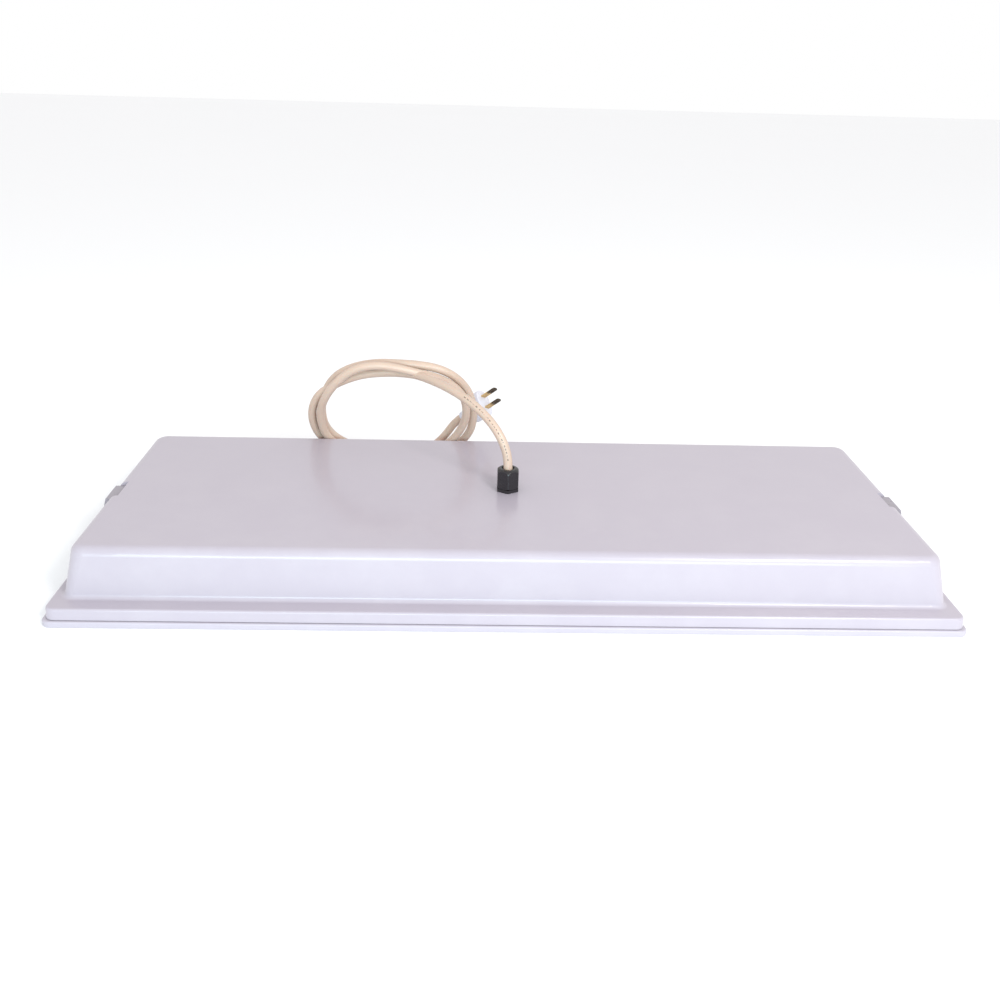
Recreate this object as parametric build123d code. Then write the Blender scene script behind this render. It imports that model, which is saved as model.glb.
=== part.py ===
from build123d import *
from math import cos, pi, radians, sin, sqrt, tan
import os

# Counter antenna pad of a theft-detection system, lying face down on its rim.
# X runs along the pad, Y across it, Z up; the origin is under its middle, on the face. Millimetres.

# rim and shell
rim_length = 740.0
rim_width = 304.0
rim_corner = 7.5
lip_height = 5.3
seam = 0.5
total_height = 57.0
ledge_height = 15.2
rim_step = 3.2
riser_draft = 6.0
ledge_side = 8.8
ledge_front = 17.1
wall = 3.0
draft = 8.0
end_draft = 10.6
foot_corner = 8.0
top_corner = 14.0
top_round = 8.2
ledge_round = 2.0
foot_round = 3.8
lip_round = 1.5
fit_gap = 0.3

# face panel
face_thickness = 3.5
upstand_thickness = 2.2
lug_length = 14.0
lug_depth = 1.0
lug_height = 1.8
lug_gap = 0.15
lugs_long = 5

# side latches
latch_place = -10.0
latch_width = 28.0
latch_side_gap = 1.2
pocket_wall = 2.4
pocket_back = 335.5
notch_back = 342.6
pivot_x = 345.0
pivot_z = 24.0
pivot_pin_radius = 1.5
pin_clearance = 0.08
knuckle_radius = 3.6
stem_thickness = 2.6
hook_top = 53.4
hook_reach = 354.2
hook_out = 3.6
hook_low = 39.2
hook_foot = 2.4
hook_thickness = 2.0
spring_wire = 0.7
spring_turns = 5
spring_slot = 3.8
spring_leg = 13.0

# cable gland
gland_hex = 19.0
gland_thread = 16.0
gland_flange = 3.2
gland_shank = 9.0
collar_radius = 7.2
collar_height = 9.5
nut_gap = 0.3
nut_height = 18.0
nut_dome = 4.0
nut_mouth = 5.0
locknut_hex = 22.0
locknut_height = 5.0
washer_height = 1.2
thread_clearance = 0.1
seal_radius = 6.0
seal_height = 4.5
slip_ring_height = 1.0

# lead and plug
lead_diameter = 8.2
lead_clearance = 0.12
coil_centre_x = -112.5
coil_lean = 24.0
coil_foot_y = 143.8
coil_foot_z = 23.4
coil_centre_up = 67.5
coil_half_width = 85.0
coil_half_height = 71.5
coil_band = 20.0
coil_near = -4.2
coil_far = 9.0
plug_width = 28.0
plug_tall = 20.0
plug_deep = 20.0
relief_length = 13.0
relief_root = 6.2
blade_length = 17.5
blade_width = 6.35
blade_thickness = 1.5
blade_spacing = 12.7
plug_face = (-20.0, 138.1, 92.7)
plug_axis = (0.7203, -0.3057, 0.6238)
plug_across = (0.3090, -0.6641, -0.6812)

# saddle that holds the lead inside the shell
clamp_x = 34.0
clamp_half = 11.5
clamp_length = 12.0
clamp_thickness = 2.2
clamp_ear = 4.5
inner_level = 18.0
inner_bend = 14.0
inner_end = 42.0

# antenna
former_length = 630.0
former_width = 218.0
former_band = 20.0
former_corner = 30.0
former_low = 9.5
former_height = 17.0
former_skin = 1.8
former_roof = 4.6
winding_gap = 0.3
tape_length = 16.0
tape_thickness = 0.4
boss_radius = 4.5
screw_radius = 1.5
screw_head_radius = 2.8
screw_head = 1.8

# circuit board, hung from the back plate
board_length = 170.0
board_width = 104.0
board_thickness = 1.6
board_left = 60.0
board_top = 42.0
board_edge = 6.0
fuse_place = (46.0, -38.0)
terminal_half = 10.5
terminal_step = 7.0
conductor_diameter = 2.2
coil_wire_diameter = 1.8


# places worked out from the sizes above
ledge_length = rim_length - 2 * rim_step
ledge_width = rim_width - 2 * rim_step
foot_length = ledge_length - 2 * ledge_side
foot_width = ledge_width - 2 * ledge_front
wall_height = total_height - ledge_height
plate_under = total_height - wall
riser_low = lip_height + seam
riser_flare = (ledge_height - riser_low) * tan(radians(riser_draft))
cavity_length = ledge_length - 2 * wall
cavity_width = ledge_width - 2 * wall
cavity_top = ledge_height - wall
upstand_length = cavity_length - 2 * fit_gap
upstand_width = cavity_width - 2 * fit_gap
upstand_top = cavity_top - fit_gap
pocket_half = latch_width / 2 + latch_side_gap
nut_low = total_height + gland_flange + nut_gap
nut_top = nut_low + nut_height
exit_low = nut_top - 6.5
collar_top = total_height + gland_flange + collar_height
lead_bore = lead_diameter / 2 + lead_clearance
former_top = former_low + former_height
former_head = former_top - former_roof + 2.2
clamp_top = inner_level + lead_diameter / 2 + 0.2
clamp_seat = inner_level + lead_diameter / 2 - 1.5
board_under = board_top - board_thickness
board_middle = board_left + board_length / 2


def at(part, x, y, z):
    return Pos(x, y, z) * part


def block(x0, x1, y0, y1, z0, z1):
    middle = ((x0 + x1) / 2, (y0 + y1) / 2, (z0 + z1) / 2)
    return at(Box(x1 - x0, y1 - y0, z1 - z0), *middle)


def rod(x, y, z0, z1, radius):
    return at(Cylinder(radius, z1 - z0), x, y, (z0 + z1) / 2)


def slab(length, width, corner, z0, z1, taper=0.0):
    outline = Pos(0, 0, z0) * RectangleRounded(length, width, corner)
    return extrude(outline, z1 - z0, taper=taper)


def drafted(length, width, low_corner, high_corner, z0, z1):
    narrow = 2 * (z1 - z0) * tan(radians(draft))
    shorten = 2 * (z1 - z0) * tan(radians(end_draft))
    low = Pos(0, 0, z0) * RectangleRounded(length, width, low_corner)
    high = Pos(0, 0, z1) * RectangleRounded(length - shorten, width - narrow, high_corner)
    return loft([low, high], ruled=True)


def save(node, part):
    solids = part.solids()
    shape = solids[0] if len(solids) == 1 else Compound(children=list(solids))
    export_step(shape, f"parts/{node}.step")


def both_sides(part):
    return part, mirror(part, Plane.YZ)


# back shell

def tub_outer():
    tub = drafted(foot_length, foot_width, foot_corner, top_corner, ledge_height, total_height)
    return fillet(tub.edges().group_by(Axis.Z)[-1], top_round)


def rim_outer():
    length = ledge_length + 2 * riser_flare
    width = ledge_width + 2 * riser_flare
    rim = slab(length, width, rim_corner + riser_flare, riser_low, ledge_height, riser_draft)
    return fillet(rim.edges().group_by(Axis.Z)[-1], ledge_round)


def shell_outer():
    body = rim_outer() + tub_outer()
    foot = [e for e in body.edges() if abs(e.bounding_box().max.Z - ledge_height) < 0.01
            and abs(e.bounding_box().min.Z - ledge_height) < 0.01
            and abs(e.center().X) < foot_length / 2 + 1 and abs(e.center().Y) < foot_width / 2 + 1]
    return fillet(foot, foot_round)


def shell_cavity():
    length = foot_length - 2 * wall
    width = foot_width - 2 * wall
    tub = drafted(length, width, foot_corner - wall, top_corner - wall, ledge_height - wall, plate_under)
    tub = fillet(tub.edges().group_by(Axis.Z)[-1], top_round - wall)
    rim = slab(cavity_length, cavity_width, rim_corner - wall, riser_low - 1, cavity_top)
    return tub + rim


def pocket_shape(grow):
    low = pivot_z - knuckle_radius - 1.2 - grow
    half = pocket_half + grow
    y0 = latch_place - half
    y1 = latch_place + half
    return block(pocket_back - grow, rim_length / 2, y0, y1, low, total_height + 1)


def pocket_cut():
    roof = block(0, notch_back, -rim_width, rim_width, plate_under, total_height + 2)
    return pocket_shape(0) - roof


def lug_places():
    places = []
    step = foot_length / lugs_long
    for i in range(lugs_long):
        x = (i - (lugs_long - 1) / 2) * step
        places.append((x, upstand_width / 2, 0))
        places.append((x, -upstand_width / 2, 0))
    for y in (-foot_width / 4, foot_width / 4):
        places.append((upstand_length / 2, y, 90))
        places.append((-upstand_length / 2, y, 90))
    return places


def lugs(extra):
    middle = upstand_top - lug_height / 2 - 0.5
    size = (lug_length + 2 * extra, 2 * (lug_depth + extra), lug_height + 2 * extra)
    return [Pos(x, y, middle) * Rot(0, 0, turn) * Box(*size) for x, y, turn in lug_places()]


def boss(x, y, low):
    tube = rod(x, y, low, plate_under + 0.5, boss_radius)
    return tube - rod(x, y, low - 1, plate_under - 1.5, screw_radius + 0.05)


def former_screw_places():
    side = former_width / 2 - former_band / 2
    end = former_length / 2 - former_band / 2
    return [(x, y) for x in (-end * 0.62, 0, end * 0.62) for y in (-side, side)]


def board_screw_places():
    half = board_length / 2 - board_edge
    side = board_width / 2 - board_edge
    return [(board_middle + sx * half, sy * side) for sx in (-1, 1) for sy in (-1, 1)]


def clamp_screw_places():
    return [(clamp_x, -clamp_half), (clamp_x, clamp_half)]


def back_shell():
    shell = shell_outer() - shell_cavity()
    for side in both_sides(pocket_shape(pocket_wall) & shell_outer()):
        shell = shell + side
    for side in both_sides(pocket_cut()):
        shell = shell - side
    for side in both_sides(pin_hole()):
        shell = shell - side
    for x, y in former_screw_places():
        shell = shell + boss(x, y, former_top)
    for x, y in board_screw_places():
        shell = shell + boss(x, y, board_top)
    for x, y in clamp_screw_places():
        shell = shell + boss(x, y, clamp_seat)
    rib = block(clamp_x - 4, clamp_x + 4, -3, 3, clamp_top, plate_under + 0.5)
    shell = shell + rib - rod(0, 0, plate_under - 1, total_height + 1, gland_thread / 2 + 0.2)
    for lug in lugs(lug_gap):
        shell = shell - lug
    return shell


# face panel and gasket

def face_panel():
    plate = slab(rim_length, rim_width, rim_corner, 0, lip_height)
    plate = fillet(plate.edges().group_by(Axis.Z)[-1], lip_round)
    plate = fillet(plate.edges().group_by(Axis.Z)[0], 0.6)
    inner_length = upstand_length - 2 * upstand_thickness
    inner_width = upstand_width - 2 * upstand_thickness
    corner = rim_corner - wall
    upstand = slab(upstand_length, upstand_width, corner, face_thickness, upstand_top)
    hollow = slab(inner_length, inner_width, 1.5, face_thickness, upstand_top + 1)
    panel = plate + upstand - hollow
    for lug in lugs(0):
        panel = panel + (lug - hollow)
    return panel


def rim_gasket():
    inset = 0.6
    outer = slab(ledge_length - 2 * inset, ledge_width - 2 * inset, rim_corner, lip_height, riser_low)
    hole = slab(cavity_length, cavity_width, rim_corner - wall, lip_height - 1, riser_low + 1)
    return outer - hole


# latches

def pin_hole():
    length = latch_width + 2 * latch_side_gap + 2 * pocket_wall - 1.0
    hole = Rot(90, 0, 0) * Cylinder(pivot_pin_radius, length)
    return at(hole, pivot_x, latch_place, pivot_z)


def latch_outline():
    inner = pivot_x - stem_thickness / 2
    outer = pivot_x + stem_thickness / 2
    toe = hook_reach + hook_out
    turn = hook_top - hook_thickness
    points = [(inner, pivot_z), (inner, hook_top), (hook_reach, hook_top)]
    points += [(toe, hook_low + hook_foot), (toe, hook_low), (toe - hook_thickness, hook_low)]
    points += [(hook_reach - hook_thickness, turn), (outer, turn), (outer, pivot_z)]
    return make_face(Polyline([(x, z) for x, z in points], close=True).edges())


def latch():
    outline = latch_outline() + Pos(pivot_x, pivot_z) * Circle(knuckle_radius)
    outline = outline - Pos(pivot_x, pivot_z) * Circle(pivot_pin_radius + pin_clearance)
    bar = extrude(Plane.XZ * outline, latch_width / 2, both=True)
    bar = at(bar, 0, latch_place, 0)
    top = [e for e in bar.edges().filter_by(Axis.Y) if e.center().Z > hook_top - 0.1]
    bar = fillet(top, 0.7)
    slot = block(0, rim_length, latch_place - spring_slot, latch_place + spring_slot,
                 pivot_z - knuckle_radius - 1, pivot_z + knuckle_radius + 1.0)
    return bar - slot


def latch_pin():
    length = latch_width + 2 * latch_side_gap + 2 * pocket_wall - 1.4
    pin = Rot(90, 0, 0) * Cylinder(pivot_pin_radius - 0.02, length)
    return at(pin, pivot_x, latch_place, pivot_z)


def latch_spring():
    radius = pivot_pin_radius + pin_clearance + spring_wire / 2
    pitch = spring_wire * 1.35
    long = spring_turns * pitch
    shift = latch_place - long / 2
    frame = Plane(origin=(pivot_x, shift, pivot_z), x_dir=(-1, 0, 0), z_dir=(0, 1, 0))
    path = frame.location * Helix(pitch, long, radius)
    start = path @ 0
    section = Plane(origin=start, z_dir=path % 0) * Circle(spring_wire / 2)
    coil = sweep(section, path=path, is_frenet=True)
    leg = rod(start.X, start.Y, pivot_z - 0.2, pivot_z + spring_leg, spring_wire / 2)
    return coil + leg


# gland

def hexagon(flats, z0, z1):
    face = Pos(0, 0, z0) * RegularPolygon(flats / 2, 6, major_radius=False, rotation=30)
    return extrude(face, z1 - z0)


def gland_body():
    body = hexagon(gland_hex, total_height, total_height + gland_flange)
    body = chamfer(body.edges().group_by(Axis.Z)[0], 0.4)
    body = body + rod(0, 0, plate_under - gland_shank + wall, total_height, gland_thread / 2)
    body = body + rod(0, 0, total_height, collar_top, collar_radius)
    body = body - rod(0, 0, 0, collar_top + 1, lead_bore)
    return body - rod(0, 0, total_height + 1, collar_top + 1, seal_radius + 0.1)


def gland_seal():
    seal_top = total_height + 1 + seal_height
    return rod(0, 0, total_height + 1, seal_top, seal_radius) - rod(0, 0, 0, seal_top + 1, lead_bore)


def gland_claw():
    low = total_height + 1 + seal_height
    claw = rod(0, 0, low, collar_top, seal_radius)
    claw = claw + rod(0, 0, collar_top, collar_top + 1.2, collar_radius - 0.3)
    claw = claw - rod(0, 0, 0, collar_top + 2, lead_bore)
    for i in range(3):
        cut = Rot(0, 0, 60 * i) * block(-10, 10, -0.35, 0.35, low + 2, collar_top + 2)
        claw = claw - cut
    return claw


def gland_slip_ring():
    low = collar_top + 1.25
    high = low + slip_ring_height
    return rod(0, 0, low, high, collar_radius - 0.3) - rod(0, 0, 0, high + 1, nut_mouth)


def dome_nut():
    nut = hexagon(gland_hex, nut_low, nut_top)
    dome = rod(0, 0, nut_low, nut_top, gland_hex / sqrt(3) - 0.25)
    dome = chamfer(dome.edges().group_by(Axis.Z)[0], 0.7)
    dome = fillet(dome.edges().group_by(Axis.Z)[-1], nut_dome)
    nut = nut & dome
    inner_top = collar_top + 1.25 + slip_ring_height + 0.05
    nut = nut - rod(0, 0, nut_low - 1, inner_top, collar_radius + thread_clearance)
    nut = nut - rod(0, 0, nut_low, nut_top + 1, nut_mouth)
    mouth = rod(0, 0, nut_top - 0.8, nut_top + 1, nut_mouth + 0.8)
    return nut - mouth


def gland_washer():
    ring = rod(0, 0, plate_under - washer_height, plate_under, locknut_hex / 2)
    return ring - rod(0, 0, 0, total_height, gland_thread / 2 + 0.1)


def gland_locknut():
    top = plate_under - washer_height
    nut = hexagon(locknut_hex, top - locknut_height, top)
    nut = chamfer(nut.edges().group_by(Axis.Z)[0], 0.5)
    return nut - rod(0, 0, 0, total_height, gland_thread / 2 + 0.05)


# lead: the stretch inside the shell

inner_route = [(0, 0, exit_low), (0, 0, inner_level + inner_bend), (inner_bend, 0, inner_level),
               (inner_end, 0, inner_level)]


def lead_path(points, share=0.45):
    radii = []
    for a, b, c in zip(points, points[1:], points[2:]):
        first = Vector(*b) - Vector(*a)
        second = Vector(*c) - Vector(*b)
        half_turn = radians(first.get_angle(second)) / 2
        radii.append(share * min(first.length, second.length) / tan(half_turn))
    return FilletPolyline(*points, radius=radii), radii


def tube(points, diameter, name):
    path, radii = lead_path(points)
    section = Plane(origin=path @ 0, z_dir=path % 0) * Circle(diameter / 2)
    solid = sweep(section, path=path)
    expected = pi * diameter ** 2 / 4 * path.length
    text = ", ".join(f"{r:.1f}" for r in radii)
    print(f"{name}: length {path.length:.1f}, volume {solid.volume:.1f} of {expected:.1f}, radii {text}")
    return solid


def inner_lead():
    return tube(inner_route, lead_diameter, "lead_inner")


def lead_clamp():
    low = inner_level - lead_diameter / 2 - 0.2
    near = clamp_x - clamp_length / 2
    far = clamp_x + clamp_length / 2
    inside = lead_diameter / 2 + 0.2
    outside = inside + clamp_thickness
    reach = clamp_half + clamp_ear
    ears = block(near, far, -reach, reach, clamp_seat - clamp_thickness, clamp_seat)
    hump = block(near, far, -outside, outside, low - clamp_thickness, clamp_seat)
    clamp = ears + hump - block(near - 1, far + 1, -inside, inside, low, clamp_seat + 1)
    for x, y in clamp_screw_places():
        clamp = clamp - rod(x, y, 0, clamp_seat + 1, screw_radius + 0.15)
    return clamp


def hung_screw(x, y, head_top, length):
    head = rod(x, y, head_top - screw_head, head_top, screw_head_radius)
    head = fillet(head.edges().group_by(Axis.Z)[0], 0.6)
    shank = rod(x, y, head_top, head_top + length, screw_radius - 0.03)
    slot = block(x - screw_head_radius, x + screw_head_radius, y - 0.35, y + 0.35, head_top - 3, head_top - 1.0)
    return head + shank - slot


def screw_set(places, head_top, length):
    return Compound(children=[hung_screw(x, y, head_top, length).solids()[0] for x, y in places])


# antenna

def former():
    length, width, corner = former_length, former_width, former_corner
    band = slab(length, width, corner, former_low, former_top)
    window = slab(length - 2 * former_band, width - 2 * former_band, corner - former_band + 2,
                  former_low - 1, former_top + 1)
    channel = winding_shape(winding_gap)
    frame = band - window - channel
    for x, y in former_screw_places():
        frame = frame - rod(x, y, former_low, former_top + 1, screw_radius + 0.15)
        frame = frame - rod(x, y, former_low, former_head, screw_head_radius + 0.2)
    return frame


def winding_shape(extra):
    inset = former_skin * 2
    length = former_length - 2 * inset + 2 * extra
    width = former_width - 2 * inset + 2 * extra
    deep = former_band - 2 * inset + 2 * extra
    low = former_low - 1.0
    high = former_top - former_roof + extra
    corner = former_corner - inset + extra
    ring = slab(length, width, corner, low, high)
    hole = slab(length - 2 * deep, width - 2 * deep, corner - deep, low - 1, high + 1)
    return ring - hole


def winding():
    raised = former_low + 1.5
    keep = block(-rim_length, rim_length, -rim_width, rim_width, raised, former_top)
    return winding_shape(0) & keep


def tapes():
    out = []
    side = former_width / 2 - former_band / 2
    for x in (-240, -80, 80, 240):
        for y in (-side, side):
            out.append(tape(x, y))
    return Compound(children=out)


def tape(x, y):
    half = tape_length / 2
    reach = former_band / 2 + tape_thickness
    outer = block(x - half, x + half, y - reach, y + reach, former_low - tape_thickness, former_top + tape_thickness)
    reach = former_band / 2
    inner = block(x - half - 1, x + half + 1, y - reach, y + reach, former_low, former_top)
    return (outer - inner).solids()[0]


# circuit board and what it carries; parts hang below it

def board():
    plate = block(board_left, board_left + board_length, -board_width / 2, board_width / 2, board_under, board_top)
    plate = fillet(plate.edges().filter_by(Axis.Z), 3)
    for x, y in board_screw_places():
        plate = plate - rod(x, y, board_under - 1, board_top + 1, screw_radius + 0.2)
    return plate


def transformer_core():
    x, y = board_left + 132, -18
    core = block(x - 21, x + 21, y - 8, y + 8, board_under - 23, board_under - 1)
    for side in (-1, 1):
        window = block(x + side * 11 - 4, x + side * 11 + 4, y - 9, y + 9, board_under - 18, board_under - 6)
        core = core - window
    return core


def transformer_winding():
    x, y = board_left + 132, -18
    gap = 0.2
    ring = block(x - 15 + gap, x + 15 - gap, y - 15, y + 15, board_under - 18 + gap, board_under - 6 - gap)
    leg = block(x - 7 - gap, x + 7 + gap, y - 8 - gap, y + 8 + gap, board_under - 30, board_under)
    winding_block = fillet(ring.edges().filter_by(Axis.Z), 2) - leg
    feet = [block(x + sx * 12 - 2, x + sx * 12 + 2, y + sy * 12 - 2, y + sy * 12 + 2, board_under - 7, board_under)
            for sx in (-1, 1) for sy in (-1, 1)]
    for foot in feet:
        winding_block = winding_block + foot
    return winding_block


def storage_capacitors():
    cans = []
    for y in (16, 40):
        can = rod(board_left + 128, y, board_under - 21, board_under, 10.5)
        can = fillet(can.edges().group_by(Axis.Z)[0], 1.2)
        groove = rod(board_left + 128, y, board_under - 3.4, board_under - 2.6, 11)
        groove = groove - rod(board_left + 128, y, 0, 100, 10.1)
        cans.append((can - groove).solids()[0])
    return Compound(children=cans)


def tuning_capacitor():
    x, y = board_left + 92, 32
    can = block(x - 16, x + 16, y - 9, y + 9, board_under - 17, board_under)
    return fillet(can.edges().filter_by(Axis.Z), 1.5)


def heat_sink():
    x, y = board_left + 88, -2
    sink = block(x - 22, x + 22, y - 1.5, y + 1.5, board_under - 20, board_under)
    for i in range(6):
        fin = x - 22 + 1 + i * 8.4
        sink = sink + block(fin - 1, fin + 1, y + 1.5, y + 12, board_under - 20, board_under)
    return sink


def power_transistors():
    x, y = board_left + 88, -2
    out = []
    for shift in (-11, 11):
        body = block(x + shift - 5, x + shift + 5, y - 6.2, y - 1.7, board_under - 18, board_under - 3)
        for leg in (-2.5, 0, 2.5):
            body = body + block(x + shift + leg - 0.4, x + shift + leg + 0.4, y - 4.4, y - 3.6,
                                board_under - 3, board_under)
        out.append(body.solids()[0])
    return Compound(children=out)


def relay():
    x, y = board_left + 88, -32
    case = block(x - 14, x + 14, y - 6.5, y + 6.5, board_under - 15, board_under)
    return fillet(case.edges().group_by(Axis.Z)[0], 0.8)


def control_chips():
    out = []
    for x, y, long in ((30, 18, 26), (30, -8, 20), (52, 6, 14)):
        left = board_left + x
        chip = block(left - long / 2, left + long / 2, y - 4, y + 4, board_under - 4, board_under - 0.6)
        count = int(long / 2.54)
        for i in range(count):
            pin = left + (i - (count - 1) / 2) * 2.54
            for side in (-1, 1):
                chip = chip + block(pin - 0.3, pin + 0.3, y + side * 4.3 - 0.5, y + side * 4.3 + 0.5,
                                    board_under - 2.6, board_under)
        out.append(chip.solids()[0])
    return Compound(children=out)


def fuse_clips():
    out = []
    y = fuse_place[1]
    for shift in (-8, 8):
        x = board_left + fuse_place[0] + shift
        base = block(x - 3, x + 3, y - 4.2, y + 4.2, board_under - 8.5, board_under)
        grip = Pos(x, y, board_under - 5.2) * Rot(0, 90, 0) * Cylinder(2.65, 8)
        mouth = block(x - 4, x + 4, y - 1.9, y + 1.9, board_under - 10, board_under - 5)
        out.append((base - grip - mouth).solids()[0])
    return Compound(children=out)


def fuse():
    middle = (board_left + fuse_place[0], fuse_place[1], board_under - 5.2)
    glass = Rot(0, 90, 0) * Cylinder(2.2, 20)
    for side in (-1, 1):
        glass = glass + Pos(side * 8, 0, 0) * Rot(0, 90, 0) * Cylinder(2.6, 6)
    return at(glass, *middle)


def terminal_block():
    x = board_left + 6
    body = block(x - 5, x + 5, -terminal_half, terminal_half, board_under - 11, board_under)
    for y in (-terminal_step, 0, terminal_step):
        body = body - block(x - 6, x + 2, y - 2, y + 2, board_under - 6.5, board_under - 2.5)
        body = body - rod(x, y, board_under - 12, board_under - 8.4, 2.1)
    return body


def terminal_screws():
    x = board_left + 6
    out = []
    for y in (-terminal_step, 0, terminal_step):
        screw = rod(x, y, board_under - 10.4, board_under - 8.4, 1.95)
        slot = block(x - 2.2, x + 2.2, y - 0.3, y + 0.3, board_under - 12, board_under - 9.6)
        out.append((screw - slot).solids()[0])
    return Compound(children=out)


def conductor_route(side):
    level = board_under - 4.5
    y = side * terminal_step
    return [(inner_end, side * 1.9, inner_level), (inner_end + 5, side * 1.9, inner_level),
            (inner_end + 9, side * 3.6, inner_level + 4), (inner_end + 11.5, side * 5.2, inner_level + 10),
            (board_left - 5, side * 6.6, level - 1.2), (board_left - 0.5, y, level), (board_left + 5, y, level)]


def conductor(side, name):
    return tube(conductor_route(side), conductor_diameter, name)


def coil_leads():
    out = []
    edge = former_width / 2 - former_band
    pad = board_width / 2 - 6
    low = former_low + 6.5
    for x in (board_left + 70, board_left + 80):
        points = [(x, edge - 0.3, low), (x, edge - 9, low + 0.8), (x - 1, edge - 19, low + 3), (x, edge - 29, low + 7),
                  (x + 0.5, pad + 5, low + 12), (x, pad, board_under - 6), (x, pad, board_under)]
        out.append(tube(points, coil_wire_diameter, "coil lead").solids()[0])
    return Compound(children=out)


# lead: the stretch in the open, its coil and its plug

exit_route = [(0, 0, exit_low), (0, 0, 84.3), (-2.7, 1.7, 96.2), (-7.7, 5.3, 106.8), (-15.4, 11.5, 116.7),
              (-24.9, 20.0, 124.6), (-35.6, 30.6, 130.2), (-46.8, 42.8, 133.7), (-57.6, 55.9, 135.3),
              (-68.4, 69.0, 135.8), (-77.9, 80.6, 135.7)]


def coil_plane(offset):
    lean = radians(coil_lean)
    origin = (coil_centre_x, coil_foot_y + offset * cos(lean), coil_foot_z + offset * sin(lean))
    return Plane(origin=origin, x_dir=(-1, 0, 0), z_dir=(0, cos(lean), sin(lean)))


def lead_coil():
    outer = Pos(0, coil_centre_up) * Ellipse(coil_half_width, coil_half_height)
    hole = Pos(0, coil_centre_up) * Ellipse(coil_half_width - coil_band, coil_half_height - coil_band)
    band = extrude(coil_plane(coil_near) * (outer - hole), coil_far - coil_near)
    return fillet(band.edges(), 2.0)


def plug_plane():
    return Plane(origin=plug_face, x_dir=plug_across, z_dir=plug_axis)


def plug_body():
    body = extrude(RectangleRounded(plug_width, plug_tall, plug_tall / 2 - 1), -plug_deep)
    body = fillet(body.edges().group_by(Axis.Z)[0], 4.0)
    body = fillet(body.edges().group_by(Axis.Z)[-1], 1.2)
    start = Plane(origin=(0, 0, 1 - plug_deep), z_dir=(0, 0, -1))
    tip = lead_diameter / 2 + 0.8
    cone = Cone(relief_root, tip, relief_length, align=(Align.CENTER, Align.CENTER, Align.MIN))
    for i in range(3):
        groove = Pos(0, 0, 4 + 3.2 * i) * (Cylinder(relief_root + 2, 1.0) - Cylinder(tip - 0.2, 2))
        cone = cone - groove
    body = body + start * cone
    for side in (-1, 1):
        body = body - Pos(side * blade_spacing / 2, 0, -2) * Box(blade_thickness, blade_width, 8)
    return plug_plane() * body


def plug_blade(side):
    blade = Pos(side * blade_spacing / 2, 0, blade_length / 2 - 3) * Box(blade_thickness, blade_width, blade_length + 6)
    corners = blade.edges().filter_by(Axis.X).group_by(Axis.Z)[-1]
    blade = fillet(corners, 1.6)
    hole = Pos(side * blade_spacing / 2, 0, blade_length - 4.5) * Rot(0, 90, 0) * Cylinder(1.6, 4)
    return plug_plane() * (blade - hole)


tail_route = [(-43.0, 147.9, 72.8), (-50.6, 150.3, 66.5), (-58.2, 151.1, 59.1), (-65.2, 150.4, 50.8),
              (-71.7, 147.4, 42.2), (-77.3, 143.0, 35.0)]


def write_all():
    os.makedirs("parts", exist_ok=True)
    save("back_shell", back_shell())
    save("face_panel", face_panel())
    save("rim_gasket", rim_gasket())
    for name, piece in (("latch", latch()), ("latch_pin", latch_pin()), ("latch_spring", latch_spring())):
        right, left = both_sides(piece)
        save(f"{name}_right", right)
        save(f"{name}_left", left)
    save("gland_body", gland_body())
    save("gland_seal", gland_seal())
    save("gland_claw", gland_claw())
    save("gland_slip_ring", gland_slip_ring())
    save("gland_dome_nut", dome_nut())
    save("gland_washer", gland_washer())
    save("gland_locknut", gland_locknut())
    save("lead_inner", inner_lead())
    save("lead_clamp", lead_clamp())
    save("clamp_screws", screw_set(clamp_screw_places(), clamp_seat - clamp_thickness, 12))
    save("coil_former", former())
    save("antenna_winding", winding())
    save("winding_tapes", tapes())
    save("former_screws", screw_set(former_screw_places(), former_head, 14))
    save("circuit_board", board())
    save("board_screws", screw_set(board_screw_places(), board_under, 7))
    save("transformer_core", transformer_core())
    save("transformer_winding", transformer_winding())
    save("storage_capacitors", storage_capacitors())
    save("tuning_capacitor", tuning_capacitor())
    save("heat_sink", heat_sink())
    save("power_transistors", power_transistors())
    save("relay", relay())
    save("control_chips", control_chips())
    save("fuse_clips", fuse_clips())
    save("fuse", fuse())
    save("terminal_block", terminal_block())
    save("terminal_screws", terminal_screws())
    save("line_tail", conductor(1, "line_tail"))
    save("neutral_tail", conductor(-1, "neutral_tail"))
    save("coil_leads", coil_leads())
    save("lead_exit", tube(exit_route, lead_diameter, "lead_exit"))
    save("lead_coil", lead_coil())
    save("lead_tail", tube(tail_route, lead_diameter, "lead_tail"))
    save("plug_body", plug_body())
    save("plug_blade_line", plug_blade(1))
    save("plug_blade_neutral", plug_blade(-1))


write_all()
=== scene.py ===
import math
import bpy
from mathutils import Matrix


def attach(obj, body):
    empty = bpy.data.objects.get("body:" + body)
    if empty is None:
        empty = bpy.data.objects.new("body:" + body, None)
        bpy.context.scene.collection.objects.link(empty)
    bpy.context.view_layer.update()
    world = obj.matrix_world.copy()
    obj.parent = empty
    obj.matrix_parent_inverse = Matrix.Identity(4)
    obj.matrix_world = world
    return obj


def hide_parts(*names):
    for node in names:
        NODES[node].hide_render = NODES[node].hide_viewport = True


bl_info = {
    "name": "Counter Antenna Pad",
    "version": (1, 0, 0),
    "blender": (4, 5, 0),
    "location": "View3D > Sidebar > Antenna Pad",
    "description": "Finishes a counter antenna pad's pieces and lays its coiled mains lead",
    "category": "Object",
}

import bpy
from mathutils import Matrix, Vector

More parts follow.
